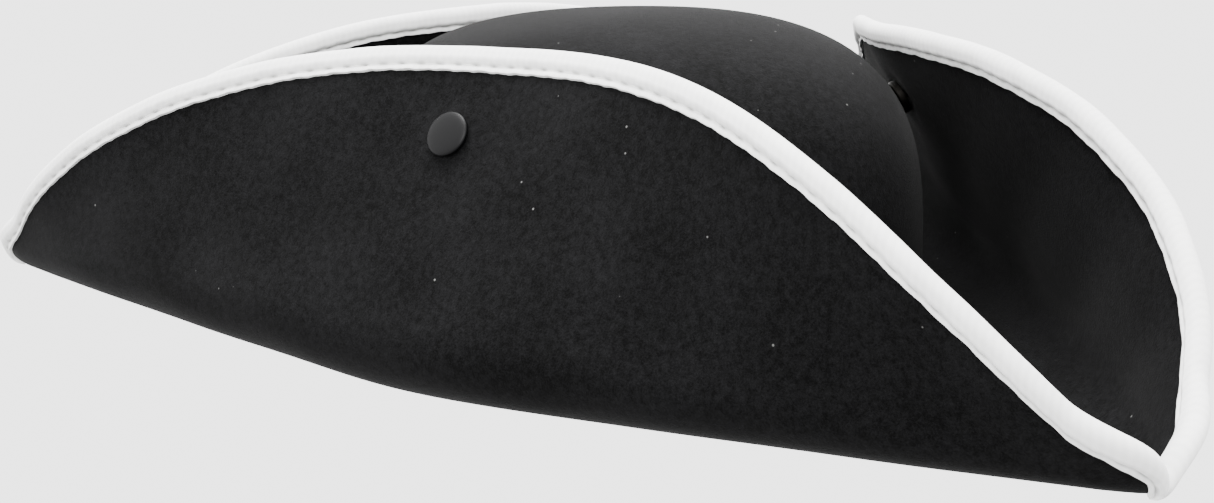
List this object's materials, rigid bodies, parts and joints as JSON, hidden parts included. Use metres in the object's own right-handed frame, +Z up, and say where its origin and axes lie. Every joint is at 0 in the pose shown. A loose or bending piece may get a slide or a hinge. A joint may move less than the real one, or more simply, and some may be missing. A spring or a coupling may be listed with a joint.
{
  "type": "pirate hat",
  "caption": "Three-cornered black felt hat with a white bound edge; brim flaps snap up against a low round crown and fold down.",
  "frame": {"origin": "middle of the hat's outline in plan, on the plane that the brim's flat ring stands on", "axes": "+Z up through the crown, -Y to the front horn, +X to the wearer's left"},
  "size_m": [0.3598, 0.3591, 0.0962],
  "materials": {
    "felt": "matte black wool felt with a short fuzzy nap",
    "binding": "white woven bias tape, folded over the edge and lockstitched",
    "ribbon": "black ribbed ribbon",
    "cap_enamel": "satin dark grey enamel on a pressed cap",
    "stud_metal": "blackened pressed metal, half gloss"
  },
  "bodies": {
    "hat": {"crown": "felt", "brim_base": "felt", "sweatband": "ribbon", "front_horn_binding": "binding", "left_rear_horn_binding": "binding", "right_rear_horn_binding": "binding", "left_snap_stud": "stud_metal", "left_snap_post": "stud_metal", "back_snap_stud": "stud_metal", "back_snap_post": "stud_metal", "right_snap_stud": "stud_metal", "right_snap_post": "stud_metal"},
    "left_flap": {"left_flap_felt": "felt", "left_flap_binding": "binding", "left_snap_cap": "cap_enamel", "left_snap_socket": "stud_metal"},
    "back_flap": {"back_flap_felt": "felt", "back_flap_binding": "binding", "back_snap_cap": "cap_enamel", "back_snap_socket": "stud_metal"},
    "right_flap": {"right_flap_felt": "felt", "right_flap_binding": "binding", "right_snap_cap": "cap_enamel", "right_snap_socket": "stud_metal"}
  },
  "joints": [
    {"name": "left_flap_fold", "type": "hinge", "parent": "hat", "child": "left_flap", "pos_m": [0.09721, -0.01066, 0], "axis": [0.454, 0.891, 0], "range_deg": [0, 75]},
    {"name": "back_flap_fold", "type": "hinge", "parent": "hat", "child": "back_flap", "pos_m": [0, 0.14723, 0], "axis": [-1, 0, 0], "range_deg": [0, 75]},
    {"name": "right_flap_fold", "type": "hinge", "parent": "hat", "child": "right_flap", "pos_m": [-0.09721, -0.01066, 0], "axis": [0.454, -0.891, 0], "range_deg": [0, 75]}
  ]
}
